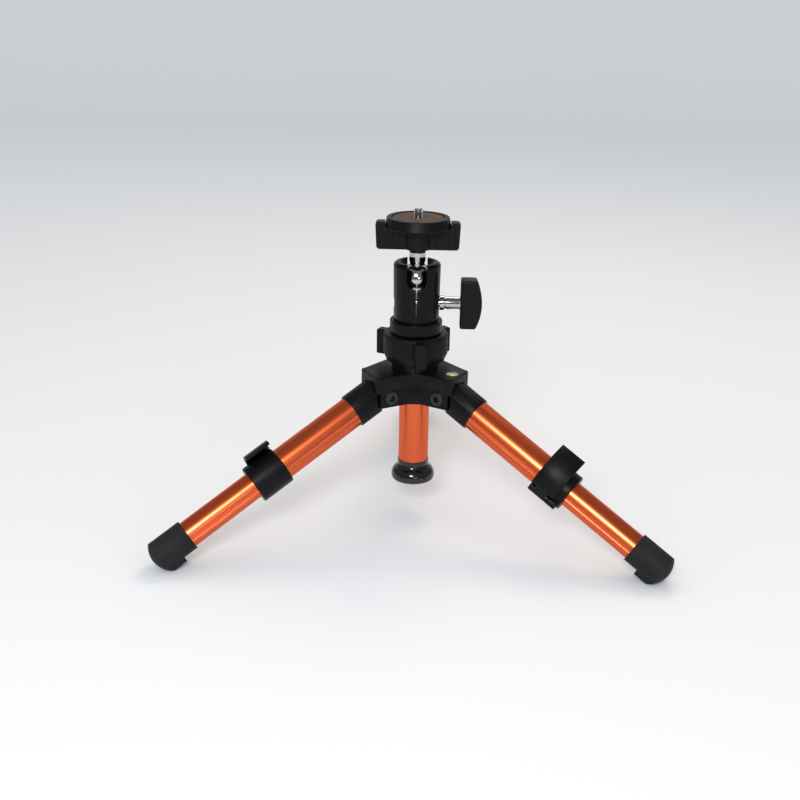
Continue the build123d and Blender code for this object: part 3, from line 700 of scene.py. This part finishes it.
def wing_knob():
    low, high = local_box("wing_knob", on_axis)
    foot = low.z + wing_hub_drop
    top = high.z
    half = high.x
    outline = [(-half + wing_taper, foot), (half - wing_taper, foot), (half, top), (-half, top)]
    wings = prism(outline, wing_thickness)
    soften(wings, wing_corner, segments=5,
           chosen=lambda e: abs(e.verts[0].co.y - e.verts[1].co.y) > wing_thickness / 2)
    soften(wings, wing_edge, segments=3)
    boss = lathe([(0, foot + 0.1), (wing_boss_radius - 0.4, foot + 0.1),
                  (wing_boss_radius, foot + 0.5), (wing_boss_radius, top - 1), (0, top - 1)], 128)
    wings = combined(wings, boss, "UNION")
    hub = lathe([(0, foot - wing_hub_drop), (wing_hub_radius - 0.4, foot - wing_hub_drop),
                 (wing_hub_radius, foot - wing_hub_drop + 0.4), (wing_hub_radius, foot + 1),
                 (0, foot + 1)], 96)
    wings = combined(wings, hub, "UNION")
    cuts = [lathe([(0, top - disc_room_depth), (disc_room_radius, top - disc_room_depth),
                   (disc_room_radius, top + 2), (0, top + 2)], 160)]
    for side in (-1, 1):
        for across in wing_groove_places:
            for face in (-1, 1):
                middle = Vector((side * across, face * (wing_thickness / 2 + 0.5), 0))
                size = Vector((wing_groove_width / 2, 0.5 + wing_groove_depth, 0))
                lower = middle - size
                upper = middle + size
                lower.z = foot + 1.8
                upper.z = top + 1
                cuts.append(groove_bar(lower, upper))
    wings = combined(wings, joined(cuts), "DIFFERENCE")
    bore = lathe([(0, foot - 3), (4.08, foot - 3), (4.08, top), (0, top)], 96)
    wings = combined(wings, bore, "DIFFERENCE")
    bake_piece("platform_wing_knob", wings, on_axis, "wing_knob", smooth=30)


def head_shell():
    finished_copy("head_housing", 0.35, "ball_head_shell")
    finished_copy("column_head_plate", 0.0, "head_base_plate")


# --- Camera platform -----------------------------------------------------------------------------
def platform_disc():
    low, high = local_box("camera_plate", on_axis)
    top = high.z
    foot = low.z
    outline = [(4.04, foot), (18.6, foot), (19.2, foot + 0.1)]
    outline += arc((21.4, foot + 1.35), 0.6, -75, 30, 6)
    outline += [(20.95, top - 0.75), (20.85, top - 0.4), (20.6, top - 0.1), (20.2, top),
                (18.2, top), (17.85, top - 0.1), (17.7, top - 0.35), (17.7, top - 1.9),
                (4.04, top - 1.9)]
    bake_piece("camera_disc", lathe(outline, 192), on_axis, "camera_plate", smooth=30)


def platform_pad():
    low, high = local_box("camera_pad", on_axis)
    top = high.z
    outline = [(pad_pocket_radius, low.z), (16.9, low.z), (17.2, low.z + 0.3), (17.2, top - 0.35),
               (16.9, top - 0.05)]
    ridge = 0.85
    count = 14
    for index in range(count):
        radius = 16.6 - index * ridge
        outline += [(radius, top), (radius - 0.45, top), (radius - 0.55, top - 0.12),
                    (radius - 0.75, top - 0.12)]
    pocket = low.z + screw_flange_height
    outline += [(4.65, top), (4.45, top), (pad_hole_radius, top - 0.25), (pad_hole_radius, pocket),
                (pad_pocket_radius, pocket)]
    pad = lathe(outline, 192)
    dimples = []
    for angle in (165, -15):
        centre = Vector((10.2, 0, top))
        pit = lathe([(0, top - 0.6), (1.0, top - 0.6), (1.15, top + 1), (0, top + 1)], 24)
        bmesh.ops.translate(pit, vec=(centre.x, 0, 0), verts=pit.verts)
        bmesh.ops.rotate(pit, cent=(0, 0, 0), matrix=Matrix.Rotation(math.radians(angle), 3, "Z"),
                         verts=pit.verts)
        dimples.append(pit)
    pad = combined(pad, joined(dimples), "DIFFERENCE")
    bake_piece("camera_grip_pad", pad, on_axis, "camera_pad", smooth=30)


def thread_radius(size, angle, height):
    radius, cut = size
    phase = (height / thread_pitch - angle / (2 * math.pi)) % 1
    return radius - cut * min(1.0, max(0.0, 2.6 * abs(phase - 0.5) - 0.15))


def threaded_stud():
    low, high = local_box("camera_screw", on_axis)
    top = high.z
    foot = rim_top / MM - 0.76
    radius = 3.175
    steps = 70
    levels = [(low.z, (2.5, 0)), (foot - 1.1, (2.5, 0)), (foot - 1.1, (5.3, 0)), (foot, (5.3, 0)),
              (foot, (2.5, 0))]
    for index in range(steps + 1):
        share = index / steps
        height = foot + (top - foot) * share
        lead = min(1.0, (top - height) / 0.7)
        levels.append((height, (radius - 0.55 * (1 - lead), thread_depth * lead)))
    stud = ringed(levels, 64, thread_radius, closed=False)
    slot = block((-screw_slot_reach, -screw_slot_width / 2, top - screw_slot_depth),
                 (screw_slot_reach, screw_slot_width / 2, top + 1))
    bmesh.ops.rotate(slot, cent=(0, 0, 0),
                     matrix=Matrix.Rotation(math.radians(screw_slot_azimuth), 3, "Z"),
                     verts=slot.verts)
    stud = combined(stud, slot, "DIFFERENCE")
    bake_piece("camera_thread_stud", stud, on_axis, "camera_screw", smooth=40)


# --- Studio ---------------------------------------------------------------------------------------
def studio_floor():
    """A pale sweep: floor, curve and wall in one sheet."""
    mesh = bmesh.new()
    start = mesh.verts.new((-3.0, -2.0, 0))
    end = mesh.verts.new((-3.0, 2.2, 0))
    mesh.edges.new((start, end))
    curve = bmesh.ops.spin(mesh, geom=[end], cent=(-3.0, 2.2, 1.0), axis=(1, 0, 0),
                           angle=math.pi / 2, steps=16)
    top = [v for v in curve["geom_last"] if isinstance(v, bmesh.types.BMVert)]
    rise = bmesh.ops.extrude_vert_indiv(mesh, verts=top)
    bmesh.ops.translate(mesh, verts=rise["verts"], vec=(0, 0, 2.5))
    wide = bmesh.ops.extrude_edge_only(mesh, edges=mesh.edges[:])
    moved = [v for v in wide["geom"] if isinstance(v, bmesh.types.BMVert)]
    bmesh.ops.translate(mesh, verts=moved, vec=(6.0, 0, 0))
    bmesh.ops.remove_doubles(mesh, verts=mesh.verts, dist=0.0001)
    bmesh.ops.recalc_face_normals(mesh, faces=mesh.faces)
    data = bpy.data.meshes.new("studio_sweep")
    mesh.to_mesh(data)
    mesh.free()
    data.shade_smooth()
    sweep = bpy.data.objects.new("studio_sweep", data)
    bpy.context.scene.collection.objects.link(sweep)
    paper = Finish("pale_paper", (0.66, 0.69, 0.725), 0.95, Specular_IOR_Level=0.0)
    fibre = paper.grain(400, 3)
    paper.drive("Base Color", paper.mixed_colour(fibre.outputs["Patch"], (0.655, 0.685, 0.72),
                                                 (0.665, 0.695, 0.73)))
    data.materials.append(paper.material)


def area_light(name, place, aim, size, power, colour):
    data = bpy.data.lights.new(name, "AREA")
    data.shape = "RECTANGLE"
    data.size, data.size_y = size
    data.energy = power
    data.color = colour
    light = bpy.data.objects.new(name, data)
    light.location = place
    light.rotation_euler = (Vector(aim) - Vector(place)).to_track_quat("-Z", "Y").to_euler()
    bpy.context.scene.collection.objects.link(light)


def studio_world():
    """Pale for what it lights, dimmer where a gloss would mirror it."""
    world = bpy.data.worlds.new("studio_world")
    bpy.context.scene.world = world
    world.use_nodes = True
    nodes = world.node_tree.nodes
    links = world.node_tree.links
    background = nodes["Background"]
    path = nodes.new("ShaderNodeLightPath")
    mix = nodes.new("ShaderNodeMix")
    mix.data_type = "RGBA"
    mix.inputs[6].default_value = (1.0, 1.0, 1.0, 1)
    mix.inputs[7].default_value = (0.24, 0.245, 0.26, 1)
    links.new(path.outputs["Is Glossy Ray"], mix.inputs[0])
    links.new(mix.outputs[2], background.inputs["Color"])
    background.inputs["Strength"].default_value = 0.94


studio_floor()
area_light("warm_overhead", (0.25, 0.55, 1.1), (0, 0, 0.12), (0.6, 0.35), 4.0, (1.0, 0.70, 0.44))
area_light("cool_front", (-0.15, -1.15, 0.78), (0, 0, 0.1), (0.36, 0.3), 9.0, (1.0, 0.98, 0.95))
area_light("low_front", (0.35, -1.3, 0.35), (0, 0, 0.1), (0.32, 0.2), 0.9, (0.72, 0.85, 1.0))
studio_world()
bpy.context.scene.view_settings.view_transform = "Standard"

for node_name, cad_node in frame["nodes"].items():
    cad_node.data.materials.clear()
    cad_node.data.materials.append(finishes[slot_of[node_name]])

legs_and_locks()
hub_and_level()
column_tube()
end_cap()
lock_ring()
ball_and_stem()
clamp_bolt()
clamp_knob()
head_shell()
wing_knob()
platform_disc()
platform_pad()
threaded_stud()
